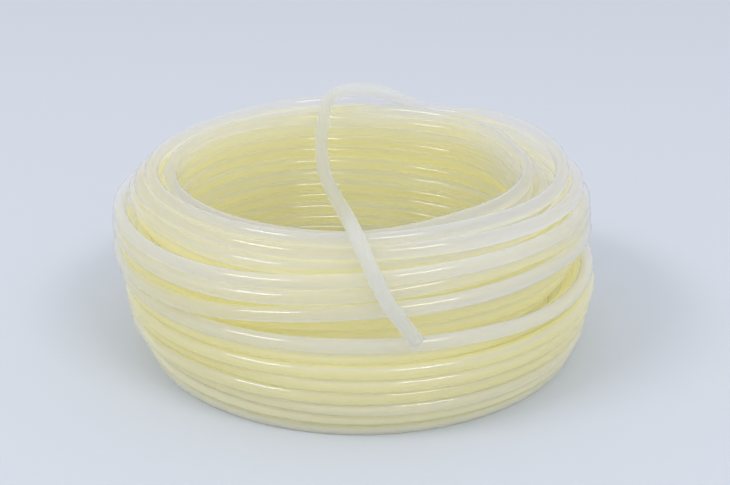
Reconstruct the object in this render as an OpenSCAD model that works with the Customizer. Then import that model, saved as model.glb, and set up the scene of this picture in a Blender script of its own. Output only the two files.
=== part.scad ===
// Coil of soft silicone tubing, wound loose and lying on its flat side.
// The tubing is one continuous length. Its winding is one solid, with every turn that shows
// on the outside as a ridge. The free end lifts out of the top layer at the back, crosses the
// open middle and lies down the outside at the front.

/* [Tubing] */
// Outside diameter of the tubing
tube_od = 6; // [5:0.5:7]
// Bore of the tubing
tube_bore = 4; // [1:0.5:4.5]
// Depth of the bore where the cut end stands open
bore_depth = 10; // [4:1:10]

/* [Coil] */
// Outside diameter of the coil at its widest
coil_od = 216; // [205:1:240]
// Clear diameter through the middle of the coil
coil_id = 163; // [140:0.5:165]
// Outside diameter over the top layer
top_od = 192; // [184:1:204]
// Outside diameter over the bottom layer
base_od = 198; // [184:1:204]
// Height at which the coil is widest
bulge_height = 47; // [20:1:60]
// Turns stacked in the outer wall
turns_high = 15; // [12:1:20]
// How far each turn nests into its neighbour
nest = 0.4; // [0.3:0.1:1]
// How far single turns stray from the smooth outline
stray = 0.5; // [0:0.1:0.8]

/* [Slack turn] */
// Which turn of the outer wall has slipped inwards, counted from the base
slack_turn = 9; // [4:1:12]
// How far that turn has slipped in
slack_depth = 6; // [1:0.5:8]
// How far the turn under it stands proud
proud = 1.5; // [0:0.5:3]

/* [Seats] */
// Depth of the flat where the bottom turns rest
rest_flat = 0.3; // [0.1:0.1:0.8]
// Length of the slot in the top layer that the free end lifts out of
lift_slot = 31; // [26:1:60]
// Gap between the free end and the slot's floor and side
slot_gap = 0.3; // [0.1:0.1:1]

/* [Hidden] */
$fn = 20;
coil_fn = 90;
tube_sides = 12;
far = 400; // beyond every outline
silicone = [0.91, 0.91, 0.80];
free_silicone = [0.88, 0.90, 0.87];

tube_r = tube_od / 2;
row_pitch = tube_od - nest;
base_z = tube_r - rest_flat; // centres of the bottom turns
top_z = base_z + (turns_high - 1) * row_pitch; // centres of the top turns

// Points along the middle of the free end, from the slot it lifts out of to its cut end
free_route = [
    [42, 83.1, 81], [35, 86.3, 81.5], [28, 88.8, 83], [21, 90.7, 85.5], [14, 91.8, 88.3],
    [7.5, 92, 90], [1, 91.7, 90.5], [-4.5, 91.2, 90.5], [-10, 89, 90], [-14, 85, 89],
    [-16, 79, 88], [-17, 69, 86.5], [-17.5, 59, 84.5], [-18, 47, 82], [-18, 34, 79.5],
    [-17, 20, 78.5], [-16, 5, 78], [-14, -11, 78.5], [-11.5, -28, 80], [-9, -46, 82.5],
    [-6.5, -64, 85.5], [-5, -76, 87.8], [-3.5, -85.5, 88.8], [-1.5, -94, 88],
    [1.5, -100.8, 83.5], [5, -105, 76.8], [8.5, -108.2, 70], [12, -110.2, 63.8], [16, -110.5, 58.2],
    [19.5, -110, 53], [23, -110, 48]
];
last = len(free_route) - 1;
start_xy = [free_route[0].x, free_route[0].y];
start_angle = atan2(start_xy.y, start_xy.x);
slot_angle = lift_slot / norm(start_xy) * 180 / PI;

// Height of the middle of one turn of the wall, counted from 0 at the base
function row_z(i) = base_z + i * row_pitch;

// Outside radius of the smooth outline at one height, full in the middle and drawn in at the ends
function outline_r(z) =
    let (end_od = z > bulge_height ? top_od : base_od,
         reach = z > bulge_height ? top_z - bulge_height : bulge_height - base_z,
         t = abs(z - bulge_height) / reach)
    coil_od / 2 - (coil_od - end_od) / 2 * pow(t, 3);

// Middle of the outermost turn of each row
function outer_turn(i) =
    let (z = row_z(i),
         inset = i == slack_turn - 1 ? slack_depth : i == slack_turn - 2 ? -proud : 0,
         loose = i == 0 || i == turns_high - 1 ? 0 : stray * sin(137 * i))
    [outline_r(z) - tube_r - inset + loose, z];

// Middle of the innermost turn of each row
function inner_turn(i) =
    let (loose = i == 0 || i == turns_high - 1 ? 0 : stray * sin(101 * i))
    [coil_id / 2 + tube_r + loose, row_z(i)];

// Turns that lie side by side across the top or the bottom row
function across(i) =
    let (a = inner_turn(i), b = outer_turn(i), gaps = max(1, ceil((b.x - a.x) / row_pitch)))
    [for (k = [0:gaps]) a + (b - a) * k / gaps];

// One closed turn of the tubing, with its middle at a radius and height
module turn(middle) { rotate_extrude($fn = coil_fn) translate(middle) circle(r = tube_r); }

// The winding: a ridge for every turn that shows, over one solid core
module winding() {
    top_row = turns_high - 1;
    rotate_extrude($fn = coil_fn)
        polygon(concat([for (i = [0:top_row]) inner_turn(i)],
                       [for (i = [0:top_row]) outer_turn(top_row - i)]));
    for (i = [1:top_row - 1], middle = [inner_turn(i), outer_turn(i)]) turn(middle);
    for (i = [0, top_row], middle = across(i)) turn(middle);
}

// Slot in the outside of the top layer, where the last turn has lifted away
module slot_section() {
    translate([norm(start_xy) - tube_r - slot_gap, top_z - tube_r - slot_gap]) square(far);
}

module tubing_coil() {
    color(silicone) difference() {
        winding();
        rotate([0, 0, start_angle]) rotate_extrude(angle = slot_angle, $fn = coil_fn) slot_section();
        translate([0, 0, -far]) cylinder(r = far, h = far); // leaves the flat that it rests on
    }
}

function unit(v) = v / norm(v);
function square_to(v, axis) = unit(v - (v * axis) * axis);

// Direction of the tubing at one point of the route, along the last turn where it starts
function heading(p, i) =
    i == 0 ? unit([-p[0].y, p[0].x, 0]) :
    i == len(p) - 1 ? unit(p[i] - p[i - 1]) :
    unit(unit(p[i + 1] - p[i]) + unit(p[i] - p[i - 1]));

// Sideways direction at each point, carried along the route so that the tube doesn't twist
function sideways(p) =
    [for (i = 0, v = [0, 0, 1]; i < len(p); i = i + 1, v = i < len(p) ? square_to(v, heading(p, i)) : v)
        square_to(v, heading(p, i))];

// One ring of corners round each point of the route
function rings(p, r) =
    let (side = sideways(p))
    [for (i = [0:len(p) - 1], k = [0:tube_sides - 1])
        let (a = 360 * k / tube_sides)
        p[i] + r * (cos(a) * side[i] + sin(a) * cross(heading(p, i), side[i]))];

module tube(p, r) {
    n = tube_sides;
    count = len(p);
    walls = [for (i = [0:count - 2], k = [0:n - 1], half = [0, 1])
        let (a = i * n + k, b = i * n + (k + 1) % n)
        half == 0 ? [a, a + n, b] : [b, a + n, b + n]];
    near_end = [[for (k = [0:n - 1]) k]];
    far_end = [[for (k = [0:n - 1]) count * n - 1 - k]];
    polyhedron(points = rings(p, r), faces = concat(walls, near_end, far_end));
}

module free_end() {
    tip = free_route[last];
    way = heading(free_route, last);
    color(free_silicone) difference() {
        tube(free_route, tube_r);
        translate(tip - way * bore_depth)
            rotate([0, acos(way.z), atan2(way.y, way.x)])
                cylinder(d = tube_bore, h = bore_depth + tube_od);
    }
}

tubing_coil();
free_end();
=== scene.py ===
import math

import bpy
import numpy as np
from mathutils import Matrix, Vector


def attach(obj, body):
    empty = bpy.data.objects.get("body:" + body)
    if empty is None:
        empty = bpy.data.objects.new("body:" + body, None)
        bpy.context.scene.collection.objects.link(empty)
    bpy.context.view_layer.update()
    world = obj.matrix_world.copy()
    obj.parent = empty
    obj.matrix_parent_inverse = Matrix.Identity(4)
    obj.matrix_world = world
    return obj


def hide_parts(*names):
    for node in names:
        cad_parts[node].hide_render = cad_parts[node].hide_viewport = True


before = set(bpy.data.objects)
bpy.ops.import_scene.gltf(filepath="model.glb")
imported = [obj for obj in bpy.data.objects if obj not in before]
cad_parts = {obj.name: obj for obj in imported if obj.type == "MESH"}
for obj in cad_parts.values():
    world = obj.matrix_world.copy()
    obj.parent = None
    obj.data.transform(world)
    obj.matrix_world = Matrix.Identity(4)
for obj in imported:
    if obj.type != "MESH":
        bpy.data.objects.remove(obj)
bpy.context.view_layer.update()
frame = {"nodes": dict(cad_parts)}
print("frame loaded:", ", ".join(frame["nodes"]))


# camera, a long lens from a little above the front of the coil
camera = {
    "place": (0.0027, -0.5820, 0.2852),
    "aim": (0.0027, 0.0, 0.0441),
    "lens": 67.6,
    "nearest": 0.01,
    "farthest": 20,
}

cameraData = bpy.data.cameras.new("viewCamera")
cameraData.lens = camera["lens"]
cameraData.clip_start = camera["nearest"]
cameraData.clip_end = camera["farthest"]
viewCamera = bpy.data.objects.new("viewCamera", cameraData)
bpy.context.collection.objects.link(viewCamera)
viewCamera.location = camera["place"]
look = Vector(camera["aim"]) - Vector(camera["place"])
viewCamera.rotation_euler = look.to_track_quat("-Z", "Y").to_euler()
bpy.context.scene.camera = viewCamera
print("camera placed")


# the tubing: about 25 m of 6 mm silicone tube with a 4 mm bore, wound loose
tubing = {
    "outer": 0.003,          # radius of the outside
    "bore": 0.002,           # radius of the bore
    "steps": 60,             # points in each turn
    "sides": 24,             # corners round the tube
    "boreDepth": 0.06,       # how far the open bore runs in from the cut end
    "length": 25.0,
    "innerWall": 0.0845,     # middle of the turns round the open centre
    "stepOver": 75,          # degrees over which a turn climbs to the next row
    "freeSpacing": 0.003,    # between the points of the free end
    "seed": 7,
}

# the free end's route, from where the top turn lets it go to the cut end
freeRoute = [
    (0.0420, 0.0831, 0.0810), (0.0350, 0.0863, 0.0815), (0.0280, 0.0888, 0.0830),
    (0.0210, 0.0907, 0.0855), (0.0140, 0.0918, 0.0883), (0.0075, 0.0920, 0.0900),
    (0.0010, 0.0917, 0.0905), (-0.0045, 0.0912, 0.0905), (-0.0100, 0.0890, 0.0900),
    (-0.0140, 0.0850, 0.0890), (-0.0160, 0.0790, 0.0880), (-0.0170, 0.0690, 0.0865),
    (-0.0175, 0.0590, 0.0845), (-0.0180, 0.0470, 0.0820), (-0.0180, 0.0340, 0.0795),
    (-0.0170, 0.0200, 0.0785), (-0.0160, 0.0050, 0.0780), (-0.0140, -0.0110, 0.0785),
    (-0.0115, -0.0280, 0.0800), (-0.0090, -0.0460, 0.0825), (-0.0065, -0.0640, 0.0855),
    (-0.0050, -0.0760, 0.0878), (-0.0035, -0.0855, 0.0888), (-0.0015, -0.0940, 0.0880),
    (0.0015, -0.1008, 0.0835), (0.0050, -0.1050, 0.0768), (0.0085, -0.1082, 0.0700),
    (0.0120, -0.1102, 0.0638), (0.0160, -0.1105, 0.0582), (0.0195, -0.1100, 0.0530),
    (0.0230, -0.1100, 0.0480),
]

# rows of the inner wall, from the base up: how far out each one lies, and height
innerRows = [
    (0.0, 0.0030), (0.0004, 0.0090), (-0.0002, 0.0150), (0.0006, 0.0209), (0.0, 0.0268),
    (0.0008, 0.0328), (0.0, 0.0390), (0.0002, 0.0450), (-0.0003, 0.0511), (0.0007, 0.0572),
    (0.0, 0.0630), (0.0008, 0.0689), (0.0, 0.0750), (0.0, 0.0812),
]

# loose rows hidden between the two walls, from the top down, each to one side of the middle
hiddenRows = {
    "count": 12,
    "top": 0.0750,
    "pitch": 0.0061,
    "sideways": 0.0022,      # inwards and outwards in turn
    "leastRadius": 0.0897,
}

# rows of the outer wall, from the base up: how far in from the outline, and height
outerRows = [
    (0.0, 0.0030), (0.0, 0.0092), (0.0006, 0.0152), (0.0, 0.0212), (0.0004, 0.0270),
    (0.0, 0.0328), (0.0008, 0.0384), (-0.0006, 0.0438), (0.0050, 0.0520), (0.0012, 0.0588),
    (0.0040, 0.0622), (0.0, 0.0650), (0.0, 0.0700), (0.0004, 0.0745), (0.0010, 0.0780),
    (0.0, 0.0810),
]

# rows of the outer wall that stray: azimuth in degrees, how far in from the outline, and height
strays = {
    4: [(-160, 0.0004, 0.0270), (-142, 0.0036, 0.0272), (-122, 0.0032, 0.0278),
        (-104, 0.0004, 0.0270), (-52, 0.0, 0.0262), (-28, 0.0, 0.0258), (25, 0.0004, 0.0268)],
    5: [(-75, 0.0, 0.0328), (-52, 0.0006, 0.0316), (-28, 0.0006, 0.0312), (25, 0.0, 0.0326)],
    6: [(-78, 0.0008, 0.0386), (-55, 0.0040, 0.0374), (-36, 0.0055, 0.0360),
        (-16, 0.0050, 0.0360), (25, 0.0008, 0.0384)],
    7: [(-160, -0.0004, 0.0438), (-120, -0.0004, 0.0428), (-105, -0.0006, 0.0440),
        (-90, -0.0006, 0.0447), (-64, -0.0006, 0.0440), (-40, -0.0006, 0.0406),
        (-16, -0.0004, 0.0404), (35, 0.0, 0.0440)],
    8: [(-160, 0.0030, 0.0490), (-135, 0.0055, 0.0480), (-105, 0.0055, 0.0505),
        (-90, 0.0055, 0.0530), (-60, 0.0055, 0.0532), (-40, 0.0055, 0.0515),
        (-18, 0.0050, 0.0500), (20, 0.0, 0.0495), (120, 0.0010, 0.0500)],
    9: [(-160, 0.0004, 0.0500), (-135, 0.0, 0.0495), (-120, 0.0, 0.0530),
        (-105, 0.0002, 0.0570), (-90, 0.0, 0.0600), (-60, 0.0, 0.0603), (-40, 0.0, 0.0616),
        (-20, 0.0, 0.0604), (20, 0.0, 0.0565), (120, 0.0, 0.0560)],
    10: [(-160, 0.0, 0.0560), (-135, 0.0004, 0.0548), (-120, 0.0016, 0.0570),
         (-105, 0.0040, 0.0600), (-90, 0.0058, 0.0645), (-60, 0.0060, 0.0650),
         (-30, 0.0055, 0.0652), (20, 0.0030, 0.0612), (120, 0.0040, 0.0600)],
    11: [(-160, 0.0, 0.0612), (-135, 0.0, 0.0602), (-120, 0.0, 0.0604), (-105, 0.0, 0.0625),
         (-90, 0.0002, 0.0660), (-72, 0.0030, 0.0672), (-50, 0.0046, 0.0676),
         (-28, 0.0012, 0.0662), (20, 0.0, 0.0620), (120, 0.0, 0.0630)],
    12: [(-160, 0.0, 0.0668), (-135, 0.0, 0.0658), (-120, 0.0, 0.0662), (-105, 0.0, 0.0682),
         (-90, 0.0, 0.0710), (-60, -0.0006, 0.0714), (-30, 0.0, 0.0704), (20, 0.0, 0.0685),
         (120, 0.0, 0.0690)],
    13: [(-160, 0.0020, 0.0742), (-142, 0.0045, 0.0750), (-120, 0.0010, 0.0725),
         (-90, 0.0020, 0.0752), (-60, 0.0035, 0.0756), (-30, 0.0030, 0.0752),
         (20, 0.0, 0.0742), (120, 0.0, 0.0745)],
    14: [(-160, 0.0010, 0.0785), (-90, 0.0010, 0.0785), (30, 0.0010, 0.0780),
         (62, 0.0008, 0.0790), (75, 0.0, 0.0842), (92, 0.0, 0.0850), (108, 0.0, 0.0838),
         (130, 0.0010, 0.0790)],
    15: [(-160, 0.0, 0.0815), (-90, 0.0, 0.0812), (30, 0.0, 0.0810), (60, 0.0, 0.0810),
         (74, 0.0, 0.0842), (92, 0.0, 0.0850), (110, 0.0, 0.0838), (140, 0.0, 0.0812)],
}

# middle of the outermost turn at each height, for azimuths round the coil: it isn't quite round
outline = {
    "heights": [0.003, 0.012, 0.028, 0.047, 0.061, 0.070, 0.076, 0.081],
    "radii": {
        -90: [0.0968, 0.1022, 0.1046, 0.1050, 0.1045, 0.1020, 0.0985, 0.0930],
        0: [0.0970, 0.1015, 0.1043, 0.1040, 0.1022, 0.1006, 0.0990, 0.0958],
        45: [0.0965, 0.1010, 0.1043, 0.1045, 0.1035, 0.1018, 0.1000, 0.0965],
        75: [0.0960, 0.1005, 0.1040, 0.1048, 0.1040, 0.1015, 0.0985, 0.0940],
        125: [0.0950, 0.0995, 0.1040, 0.1050, 0.1035, 0.1000, 0.0955, 0.0905],
        180: [0.0940, 0.0985, 0.1040, 0.1060, 0.1082, 0.1062, 0.1010, 0.0935],
        -135: [0.0950, 0.0995, 0.1040, 0.1055, 0.1060, 0.1035, 0.0995, 0.0930],
    },
}


def smoothStep(x):
    x = np.clip(x, 0, 1)
    return x * x * (3 - 2 * x)


# radius of the outline at a height and an azimuth, eased from one azimuth of the table to the next
def outlineAt(height, degrees):
    height, degrees = np.broadcast_arrays(np.asarray(height, float), np.asarray(degrees, float))
    azimuths = sorted(outline["radii"])
    rows = [outline["radii"][a] for a in azimuths]
    rows.append(rows[0])
    azimuths = np.array(azimuths + [azimuths[0] + 360])
    turned = np.mod(degrees - azimuths[0], 360) + azimuths[0]
    low = np.clip(np.searchsorted(azimuths, turned, side="right") - 1, 0, len(azimuths) - 2)
    ease = smoothStep((turned - azimuths[low]) / (azimuths[low + 1] - azimuths[low])).ravel()
    radii = np.array([np.interp(height.ravel(), outline["heights"], row) for row in rows])
    each = np.arange(height.size)
    radius = radii[low.ravel(), each] * (1 - ease) + radii[low.ravel() + 1, each] * ease
    return radius.reshape(height.shape)


# how far in a row of the outer wall lies, and its height, eased from one azimuth to the next
def strayedRow(row, degrees):
    level = np.ones(len(degrees))
    inset, height = outerRows[row][0] * level, outerRows[row][1] * level
    knots = strays.get(row, [])
    if knots:
        before = (knots[-1][0] - 360,) + knots[-1][1:]
        after = (knots[0][0] + 360,) + knots[0][1:]
        knots = [before] + knots + [after]
    for start, end in zip(knots, knots[1:]):
        share = (degrees - start[0]) / (end[0] - start[0])
        within = (share >= 0) & (share < 1)
        ease = smoothStep(share[within])
        inset[within] = start[1] + (end[1] - start[1]) * ease
        height[within] = start[2] + (end[2] - start[2]) * ease
    return inset, height


# radius and height of every row at each azimuth, in the order that the tube was wound:
# the inner wall up, the loose rows down inside, then the outer wall up
def rowsRound(degrees):
    level = np.ones(len(degrees))
    lies = [((tubing["innerWall"] + out) * level, height * level) for out, height in innerRows]
    for i in range(hiddenRows["count"]):
        height = hiddenRows["top"] - i * hiddenRows["pitch"]
        sideways = hiddenRows["sideways"] if i % 2 else -hiddenRows["sideways"]
        middle = (tubing["innerWall"] + outlineAt(height, degrees)) / 2 + sideways
        lies.append((np.maximum(middle, hiddenRows["leastRadius"]), height * level))
    for row in range(len(outerRows)):
        inset, height = strayedRow(row, degrees)
        lies.append((outlineAt(height, degrees) - inset, height))
    return np.array(lies).transpose(0, 2, 1)


# the slow waves of soft tubing laid by hand: the size of each, and how often it changes in a turn
waves = ((0.0007, 2.3), (0.0004, 5.1))


def slowWander(place, turns):
    draws = np.random.default_rng(tubing["seed"])
    wander = np.zeros((len(place), 2))
    for size, beats in waves:
        knots = draws.normal(0, size, (int(turns * beats) + 3, 2))
        at = place / tubing["steps"] * beats
        low = at.astype(int)
        mix = smoothStep(at - low)[:, None]
        wander += knots[low] * (1 - mix) + knots[low + 1] * mix
    return wander


# the turns settle: each is drawn to its home, kept smooth, and pushed off its neighbours
settling = {
    "sweeps": 160,
    "homing": 0.06,
    "smoothing": 0.45,
    "push": 0.4,
    "sink": 0.0001,          # how far the bottom turns press into the table
    "give": 0.0006,          # how far a turn may bulge into the open centre
}


def settle(home, last, turns):
    spots = home.copy()
    size = 2 * tubing["outer"]
    itself = np.arange(turns)
    for sweep in range(settling["sweeps"]):
        spots += settling["homing"] * (home - spots)
        spots[1:-1] += settling["smoothing"] * ((spots[:-2] + spots[2:]) / 2 - spots[1:-1])
        grid = spots[:-1].reshape(turns, tubing["steps"], 2).transpose(1, 0, 2)
        gap = grid[:, :, None, :] - grid[:, None, :, :]
        apart = np.linalg.norm(gap, axis=3)
        apart[:, itself, itself] = 1.0
        push = np.maximum(size - apart, 0) / apart * settling["push"]
        move = (gap * push[..., None]).sum(axis=2)
        spots[:-1] += move.transpose(1, 0, 2).reshape(-1, 2)
        spots[:, 1] = np.maximum(spots[:, 1], tubing["outer"] - settling["sink"])
        spots[:, 0] = np.maximum(spots[:, 0], tubing["innerWall"] - settling["give"])
        spots[-1] = last
        spots[-2] = (spots[-2] + last) / 2
    return spots


# the whole winding as one line: an angle for each point, and its radius and height
def layWinding():
    steps = tubing["steps"]
    turns = len(innerRows) + hiddenRows["count"] + len(outerRows)
    place = np.arange(turns * steps + 1)
    turn = np.minimum(place // steps, turns - 1)
    within = (place - turn * steps) / steps
    startAngle = math.atan2(freeRoute[0][1], freeRoute[0][0])
    angle = startAngle + within * 2 * math.pi
    climb = smoothStep(within * 360 / tubing["stepOver"])[:, None]
    lies = rowsRound(np.mod(np.degrees(angle) + 180, 360) - 180)
    before = lies[np.maximum(turn - 1, 0), place]
    home = before * (1 - climb) + lies[turn, place] * climb + slowWander(place, turns)
    last = np.array((math.hypot(freeRoute[0][0], freeRoute[0][1]), freeRoute[0][2]))
    home[-1] = last
    return angle, settle(home, last, turns), turns


# on the right the upper turns have slid inwards over the open centre, and stand a little apart
slide = {
    "azimuth": -20,             # middle of the stretch, in degrees
    "halfWidth": 78,
    "fade": 45,                 # degrees over which it sets in
    "most": 0.009,
    "heights": (0.020, 0.075),  # sets in from the first up to the second
    "radii": (0.084, 0.106),    # dies out from the first to the second
}


def slideInwards(angle, spots):
    low, high = slide["heights"]
    inner, outer = slide["radii"]
    off = np.abs(np.mod(np.degrees(angle) - slide["azimuth"] + 180, 360) - 180)
    slid = smoothStep((slide["halfWidth"] - off) / slide["fade"]) \
        * smoothStep((spots[:, 1] - low) / (high - low)) \
        * (1 - smoothStep((spots[:, 0] - inner) / (outer - inner)))
    spots[:, 0] -= slide["most"] * slid


# a smooth line through a list of points
def smoothLine(points, spacing):
    points = np.array(points)
    ahead = np.vstack((points[1:], 2 * points[-1] - points[-2]))
    behind = np.vstack((2 * points[0] - points[1], points[:-1]))
    slope = (ahead - behind) / 2
    line = []
    for i in range(len(points) - 1):
        count = max(2, int(round(np.linalg.norm(points[i + 1] - points[i]) / spacing)))
        for k in range(count):
            t = k / count
            line.append((2 * t**3 - 3 * t**2 + 1) * points[i] + (t**3 - 2 * t**2 + t) * slope[i]
                        + (3 * t**2 - 2 * t**3) * points[i + 1] + (t**3 - t**2) * slope[i + 1])
    line.append(points[-1])
    return np.array(line)


angle, spots, turns = layWinding()
slideInwards(angle, spots)
windingPath = np.column_stack((np.cos(angle) * spots[:, 0], np.sin(angle) * spots[:, 0], spots[:, 1]))
freePath = smoothLine(freeRoute, tubing["freeSpacing"])
centres = np.vstack((windingPath[:-1], freePath))
pathLength = np.linalg.norm(np.diff(centres, axis=0), axis=1).sum()
print("winding laid:", turns, "turns,", round(float(pathLength), 3), "m of tubing")


# rings of corners round a line, carried along without twist
def ringsAround(line, radius, sides):
    ways = np.gradient(line, axis=0)
    ways /= np.linalg.norm(ways, axis=1)[:, None]
    side = np.array([0.0, 0.0, 1.0])
    about = np.linspace(0, 2 * math.pi, sides, endpoint=False)[:, None]
    rings = np.zeros((len(line), sides, 3))
    for i, way in enumerate(ways):
        side = side - way * side.dot(way)
        side /= np.linalg.norm(side)
        other = np.cross(way, side)
        rings[i] = line[i] + radius * (np.cos(about) * side + np.sin(about) * other)
    return rings


def quadsBetween(start, count, sides, inward=False):
    quads = []
    for i in range(count - 1):
        for k in range(sides):
            a = start + i * sides + k
            b = start + i * sides + (k + 1) % sides
            quad = (a, b, b + sides, a + sides)
            quads.append(quad[::-1] if inward else quad)
    return quads


# the tube as one mesh, with its corners and the point of the line that each corner belongs to
def buildTube():
    sides = tubing["sides"]
    fromCutEnd = np.cumsum(np.linalg.norm(np.diff(centres[::-1], axis=0), axis=1))
    boreSteps = int(np.argmax(fromCutEnd > tubing["boreDepth"]))
    boreLine = centres[-boreSteps - 1:]
    outside = ringsAround(centres, tubing["outer"], sides)
    bore = ringsAround(boreLine, tubing["bore"], sides)
    corners = np.vstack((outside.reshape(-1, 3), bore.reshape(-1, 3)))
    points = np.arange(len(centres))
    owner = np.repeat(np.concatenate((points, points[-len(boreLine):])), sides)
    boreStart = len(centres) * sides
    faces = quadsBetween(0, len(centres), sides)
    faces += quadsBetween(boreStart, len(boreLine), sides, inward=True)
    # the flat cut: the bore's corners may be some steps round from the outside's
    lastOuter = boreStart - sides
    lastBore = boreStart + (len(boreLine) - 1) * sides
    offset = int(np.argmin(np.linalg.norm(bore[-1] - outside[-1][0], axis=1)))
    for k in range(sides):
        a, b = lastOuter + k, lastOuter + (k + 1) % sides
        c, d = lastBore + (k + 1 + offset) % sides, lastBore + (k + offset) % sides
        faces.append((a, b, c, d))
    faces.append(tuple(range(sides))[::-1])                      # hidden inner end
    faces.append(tuple(boreStart + k for k in range(sides)))     # floor of the bore
    mesh = bpy.data.meshes.new("coiledTubing")
    mesh.from_pydata(corners.tolist(), [], faces)
    mesh.update()
    mesh.shade_smooth()
    piece = bpy.data.objects.new("coiledTubing", mesh)
    bpy.context.collection.objects.link(piece)
    return piece, corners, owner


coiledTubing, corners, owner = buildTube()
print("tube built:", len(coiledTubing.data.polygons), "faces")

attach(coiledTubing, "root")
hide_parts("tubing_coil", "free_end")


# how crowded each point is by the turns round it, and how far off the next turn's surface is
crowd = {"reach": 0.009, "batch": 20000}


def amongTurns(points):
    steps = tubing["steps"]
    grid = spots[:-1].reshape(turns, steps, 2)
    pointRadius = np.hypot(points[:, 0], points[:, 1])
    place = np.mod(np.arctan2(points[:, 1], points[:, 0]) - angle[0], 2 * math.pi)
    slot = np.round(place / (2 * math.pi) * steps).astype(int) % steps
    crowding = np.zeros(len(points))
    nextTurn = np.zeros(len(points))
    for first in range(0, len(points), crowd["batch"]):
        part = slice(first, first + crowd["batch"])
        away = np.hypot(pointRadius[part, None] - grid[:, slot[part], 0].T,
                        points[part, 2][:, None] - grid[:, slot[part], 1].T)
        crowding[part] = np.clip(1 - (away / crowd["reach"]) ** 2, 0, 1).sum(axis=1)
        nextTurn[part] = np.partition(away, 1, axis=1)[:, 1] - tubing["outer"]
    return crowding, nextTurn


# 0 where a value is at none, 1 where it is at full, and even in between
def fade(value, none, full):
    return np.clip((value - none) / (full - none), 0, 1)


# zones of the surface, each as the two values that it fades in between
zones = {
    "free": (-4, 8),               # points of the line past the winding's last one
    "hollow": (0.003, -0.001),     # out from the middle of the inner wall
    "hollowHeights": (0.087, 0.067),
    "meeting": (0.0013, 0.0),      # distance to the next turn
    "crowded": (1.95, 2.65),
}

middles = centres[owner]
radius, height = np.hypot(corners[:, 0], corners[:, 1]), corners[:, 2]
middleRadius, middleHeight = np.hypot(middles[:, 0], middles[:, 1]), middles[:, 2]
azimuth = np.degrees(np.arctan2(corners[:, 1], corners[:, 0]))
turnNow = owner / tubing["steps"]

crowding, nextTurn = amongTurns(corners)
onFree = smoothStep(fade(owner - turns * tubing["steps"], *zones["free"]))
hollow = fade(radius - tubing["innerWall"], *zones["hollow"]) * fade(height, *zones["hollowHeights"])
meeting = smoothStep(fade(nextTurn, *zones["meeting"])) * (1 - onFree)
crowded = smoothStep(fade(crowding, *zones["crowded"]))


# how yellowish the rubber is painted: 0 is one wall against the light, 1 is the thickest part of the
# coil. Over its own light tint and turn-to-turn tone, this is painted shade: yellower where turns
# crowd, in the open centre below the rim, under the bulge and on recessed turns, where the light is
# shaded and has come through more rubber.
tint = {
    "least": 0.12,                    # in the coil; the free end has none
    "depth": 0.85,                    # among many turns
    "depthCrowding": (0.9, 2.6),
    "outward": 0.6,                   # in radii, how far off the surface the crowding is read
    "hollow": 0.5,                    # inner wall below the rim
    "hollowDepth": 0.15,
    "low": 0.36,                      # outer wall under its bulge
    "lowHeights": (0.041, 0.035),
    "recess": 0.65,                   # turns that have slipped in
    "recessDepths": (0.0015, 0.0055),
    "recessHeights": (0.072, 0.066),
}

# from turn to turn and along each turn; rows counts the outer wall's rows from the base
turnTint = {
    "spread": 0.2,
    "alongSpread": 0.09,
    "alongKnots": 3,                  # in each turn
    "rows": {0: 0.1, 1: 0.0, 2: -0.25, 3: 0.2, 4: 0.0, 5: 0.18, 6: 0.12, 7: -0.12, 9: -0.2,
             11: -0.35, 12: -0.3, 14: -0.25, 15: -0.25},
    "innerRows": {4: 0.05, 5: -0.08, 6: 0.15, 7: -0.05, 8: -0.05, 9: 0.2, 10: -0.22, 11: -0.16},
}

# round each tube: a band where the bore shows, a whiter line at each edge of it, and the gap between
# turns. The band is painted; the lines stand for the wall seen edge-on and are also painted sheen,
# the upper one stronger as it faces the light; the gap's yellower tint is painted shade between
# turns.
stripe = {
    "band": 0.3, "bandWidth": 26,            # widths and angles are in degrees round the tube
    "upperLineAndSheen": -0.75, "lowerLineAndSheen": -0.35,
    "lineAngle": 46, "lineWidth": 13,
    "gap": 0.6,
    "coreRadius": 0.0945,                    # the upright core that the tubes face away from
    "coreHeights": (0.010, 0.076),
    "leastSize": 1e-9,                       # so that nothing is divided by zero
}

# in the open centre most meeting lines are painted whiter, as painted light over the shade where
# turns meet, and some are painted yellower, as painted shade in the gap, counted from the base
seam = {
    "paintedLightWhite": -0.6,
    "yellowTintAndPaintedShade": 0.6,
    "yellowOnes": (4, 6, 9, 11, 13),
    "place": 0.57,                           # how far into its turn each one has its own tint
}


def tintOfTurns():
    draws = np.random.default_rng(tubing["seed"] + 1)
    each = draws.uniform(-1, 1, turns + 1) * turnTint["spread"]
    for row, change in turnTint["rows"].items():
        each[turns - len(outerRows) + row] = change
    for row, change in turnTint["innerRows"].items():
        each[row] = change
    knots = turnTint["alongKnots"] * turns + 4
    along = draws.normal(0, turnTint["alongSpread"], knots)
    return np.interp(turnNow, np.arange(turns + 1) + 0.5, each) \
        + np.interp(turnNow, np.arange(knots) / turnTint["alongKnots"], along)


# painted sheen along the tube's edge lines, stronger above, and painted shade in the gaps between
# turns
def paintedStripesAndGapShade():
    outR = middleRadius - stripe["coreRadius"]
    outZ = middleHeight - np.clip(middleHeight, *stripe["coreHeights"])
    outward = (radius - middleRadius) * outR + (height - middleHeight) * outZ
    sizes = np.hypot(outR, outZ) * np.linalg.norm(corners - middles, axis=1) + stripe["leastSize"]
    facing = np.degrees(np.arccos(np.clip(outward / sizes, -1, 1)))
    band = stripe["band"] * np.exp(-(facing / stripe["bandWidth"]) ** 2)
    line = np.where(height > middleHeight, stripe["upperLineAndSheen"], stripe["lowerLineAndSheen"]) \
        * np.exp(-((facing - stripe["lineAngle"]) / stripe["lineWidth"]) ** 2)
    return band + line + stripe["gap"] * meeting * (1 - hollow)


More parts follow.
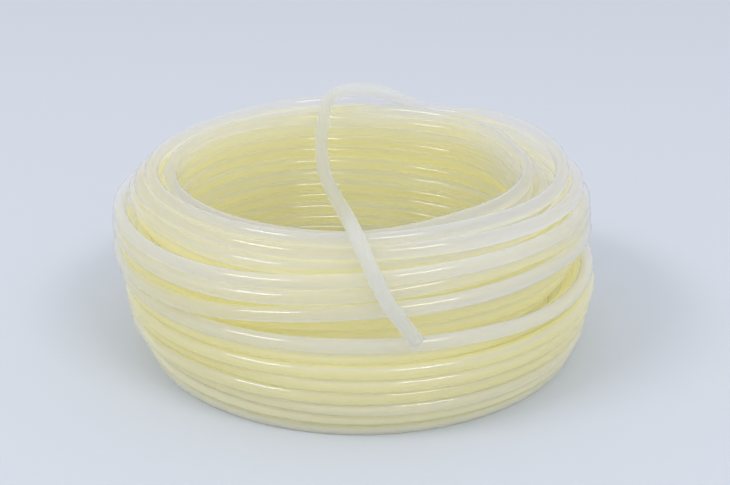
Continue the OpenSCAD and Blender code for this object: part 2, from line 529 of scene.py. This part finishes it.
# painted light and painted shade along the meeting lines of the open centre
def paintedSeamLightAndShade():
    tints = np.full(turns + 2, seam["paintedLightWhite"])
    tints[list(seam["yellowOnes"])] = seam["yellowTintAndPaintedShade"]
    nearest = turnNow + 0.5 * np.sign(height - middleHeight)
    return np.interp(nearest, np.arange(turns + 2) + seam["place"], tints) * meeting * hollow


# painted shade, yellower among crowded turns, in the open centre, under the bulge and on recessed
# turns, laid over the coil's own tint
def tintWithPaintedShade():
    offSurface = corners + (corners - middles) * tint["outward"]
    depth = fade(amongTurns(offSurface)[0], *tint["depthCrowding"])
    low = fade(height, *tint["lowHeights"]) * (1 - hollow)
    recess = fade(outlineAt(height, azimuth) - middleRadius, *tint["recessDepths"]) \
        * fade(height, *tint["recessHeights"]) * (1 - hollow)
    yellowTintAndPaintedShade = np.maximum(tint["depth"] * depth, tint["hollow"] * hollow + tint["hollowDepth"] * depth)
    yellowTintAndPaintedShade += tint["low"] * low + tint["recess"] * recess + tintOfTurns() * (1 - recess)
    yellowTintAndPaintedShade += paintedStripesAndGapShade() + paintedSeamLightAndShade()
    return np.clip(yellowTintAndPaintedShade, tint["least"], 1) * (1 - onFree)


# how much of the light that the rubber scatters goes on through it, from place to place
glow = {
    "outer": 0.76, "low": 0.6, "base": 0.42, "hollow": 0.93, "top": 0.95, "meeting": 0.93,
    "free": 0.76,
    "lowHeights": (0.049, 0.037), "baseHeights": (0.020, 0.008), "topHeights": (0.076, 0.082),
}


def glowing():
    shares = {
        "low": fade(height, *glow["lowHeights"]) * (1 - hollow),
        "base": smoothStep(fade(height, *glow["baseHeights"])),
        "hollow": hollow,
        "top": smoothStep(fade(height, *glow["topHeights"])),
        "meeting": np.maximum(meeting, crowded),
        "free": onFree,
    }
    amount = np.full(len(corners), glow["outer"])
    for name, share in shares.items():
        amount += (glow[name] - amount) * share
    return amount


# how much of the skin's gloss is left: little between the turns and on their undersides
gloss = {
    "crowded": 0.1, "crowding": (1.86, 2.16),
    "free": 0.25,
    "underside": 0.25, "upward": (-0.35, 0.15),     # height over the tube's middle, in radii
}


def glossLeft():
    tight = smoothStep(fade(crowding, *gloss["crowding"]))
    up = smoothStep(fade((height - middleHeight) / tubing["outer"], *gloss["upward"]))
    return (1 - (1 - gloss["crowded"]) * tight) * (1 - meeting) * (1 - (1 - gloss["free"]) * onFree) \
        * (gloss["underside"] + (1 - gloss["underside"]) * up)


# how much light passes straight through each wall
clearness = {"coil": 0.46, "free": 0.5}

surface = {
    "yellowTintAndPaintedShade": tintWithPaintedShade(),
    "through": clearness["coil"] + (clearness["free"] - clearness["coil"]) * onFree,
    "glow": glowing(),
    "skin": glossLeft(),
}
for name, values in surface.items():
    layer = coiledTubing.data.attributes.new(name, "FLOAT", "POINT")
    layer.data.foreach_set("value", values.astype(np.float32))
print("rubber tinted by depth")


# sRGB hex colour to the linear values that shaders take
def linearColor(hexText):
    parts = [int(hexText[i:i + 2], 16) / 255 for i in (1, 3, 5)]
    return tuple(p / 12.92 if p <= 0.04045 else ((p + 0.055) / 1.055) ** 2.4 for p in parts) + (1.0,)


# one node of a material, with its settings, its input values and its links
def addNode(tree, kind, settings=None, values=None, links=None):
    node = tree.nodes.new(kind)
    for name, value in (settings or {}).items():
        setattr(node, name, value)
    for name, value in (values or {}).items():
        node.inputs[name].default_value = value
    for name, source in (links or {}).items():
        tree.links.new(source, node.inputs[name])
    return node


# Platinum-cured silicone rubber, extruded and left uncoloured: milky, half see-through, with
# a smooth wet-looking skin. More wall in the way of the light makes it yellower: painted shade at the
# ramp's far end, lighter in red and green to make up for the shade in the coil.
rubber = {
    "free": "#F0F1EE",
    "wall": "#F1F2FE",
    "pale": "#F6F6F4", "paleAt": 0.35,
    # painted shade at the far end of the ramp: yellower, and lighter in red and green than the wall
    "deepPaintedShade": "#FFFCDB",
    "clear": "#FFFFFF",
    "bodyRoughness": 0.45, "bodyIor": 1.41,
    "skinRoughness": 0.1, "skinIor": 1.55,
}


def siliconeRubber():
    material = bpy.data.materials.new("milkySiliconeRubber")
    material.use_nodes = True
    tree = material.node_tree
    tree.nodes.clear()
    yellowTintAndPaintedShade = addNode(tree, "ShaderNodeAttribute", {"attribute_name": "yellowTintAndPaintedShade"})
    through = addNode(tree, "ShaderNodeAttribute", {"attribute_name": "through"})
    glowShare = addNode(tree, "ShaderNodeAttribute", {"attribute_name": "glow"})
    skinShare = addNode(tree, "ShaderNodeAttribute", {"attribute_name": "skin"})
    ramp = addNode(tree, "ShaderNodeValToRGB", links={"Fac": yellowTintAndPaintedShade.outputs["Fac"]})
    ramp.color_ramp.elements[0].color = linearColor(rubber["free"])
    ramp.color_ramp.elements[1].color = linearColor(rubber["deepPaintedShade"])
    ramp.color_ramp.elements.new(tint["least"]).color = linearColor(rubber["wall"])
    ramp.color_ramp.elements.new(rubber["paleAt"]).color = linearColor(rubber["pale"])

    # the milky body: light scattered back and light scattered on through
    back = addNode(tree, "ShaderNodeBsdfPrincipled",
                   values={"Roughness": rubber["bodyRoughness"], "IOR": rubber["bodyIor"],
                           "Specular IOR Level": 0.0},
                   links={"Base Color": ramp.outputs["Color"]})
    onward = addNode(tree, "ShaderNodeBsdfTranslucent", links={"Color": ramp.outputs["Color"]})
    body = addNode(tree, "ShaderNodeMixShader",
                   links={0: glowShare.outputs["Fac"], 1: back.outputs["BSDF"],
                          2: onward.outputs["BSDF"]})
    clear = addNode(tree, "ShaderNodeBsdfTransparent", values={"Color": linearColor(rubber["clear"])})
    milky = addNode(tree, "ShaderNodeMixShader",
                    links={0: through.outputs["Fac"], 1: body.outputs["Shader"],
                           2: clear.outputs["BSDF"]})

    # the skin's gloss, on the outer side of each wall only
    skin = addNode(tree, "ShaderNodeBsdfAnisotropic", values={"Roughness": rubber["skinRoughness"]})
    sheen = addNode(tree, "ShaderNodeFresnel", values={"IOR": rubber["skinIor"]})
    side = addNode(tree, "ShaderNodeNewGeometry")
    outerSide = addNode(tree, "ShaderNodeMath", {"operation": "SUBTRACT"}, values={0: 1.0},
                        links={1: side.outputs["Backfacing"]})
    outerSheen = addNode(tree, "ShaderNodeMath", {"operation": "MULTIPLY"},
                         links={0: sheen.outputs["Fac"], 1: outerSide.outputs["Value"]})
    sheenLeft = addNode(tree, "ShaderNodeMath", {"operation": "MULTIPLY"},
                        links={0: outerSheen.outputs["Value"], 1: skinShare.outputs["Fac"]})
    whole = addNode(tree, "ShaderNodeMixShader",
                    links={0: sheenLeft.outputs["Value"], 1: milky.outputs["Shader"],
                           2: skin.outputs["BSDF"]})
    addNode(tree, "ShaderNodeOutputMaterial", links={"Surface": whole.outputs["Shader"]})
    return material


coiledTubing.data.materials.append(siliconeRubber())
print("silicone made")


# pale seamless table, matt laminate
stage = {"size": 6.0, "color": "#BEC4CF", "roughness": 0.9, "specular": 0.1}

bpy.ops.object.select_all(action="DESELECT")
bpy.ops.mesh.primitive_plane_add(size=stage["size"], location=(0, 0, 0))
table = bpy.context.object
table.name = "paleTable"
tableFinish = bpy.data.materials.new("mattTable")
tableFinish.use_nodes = True
tableShader = tableFinish.node_tree.nodes["Principled BSDF"]
tableShader.inputs["Base Color"].default_value = linearColor(stage["color"])
tableShader.inputs["Roughness"].default_value = stage["roughness"]
tableShader.inputs["Specular IOR Level"].default_value = stage["specular"]
table.data.materials.append(tableFinish)

# two large softboxes above the camera's left and right, aimed at the coil, and a soft sky
lamps = {
    "leftBox": {"place": (-1.72, -1.07, 2.20), "wide": 1.25, "tall": 0.55, "power": 25},
    "rightBox": {"place": (1.20, -1.60, 2.20), "wide": 1.25, "tall": 0.55, "power": 25},
}
lampAim = (0, 0, 0.04)
sky = {"color": "#FFFFFF", "strength": 0.90}

for name, lamp in lamps.items():
    lampData = bpy.data.lights.new(name, "AREA")
    lampData.shape = "RECTANGLE"
    lampData.size = lamp["wide"]
    lampData.size_y = lamp["tall"]
    lampData.energy = lamp["power"]
    light = bpy.data.objects.new(name, lampData)
    bpy.context.collection.objects.link(light)
    light.location = lamp["place"]
    aim = Vector(lampAim) - light.location
    light.rotation_euler = aim.to_track_quat("-Z", "Y").to_euler()

world = bpy.data.worlds.new("softSky")
bpy.context.scene.world = world
world.use_nodes = True
world.node_tree.nodes["Background"].inputs["Color"].default_value = linearColor(sky["color"])
world.node_tree.nodes["Background"].inputs["Strength"].default_value = sky["strength"]
bpy.context.scene.view_settings.view_transform = "Standard"
print("stage and light set")
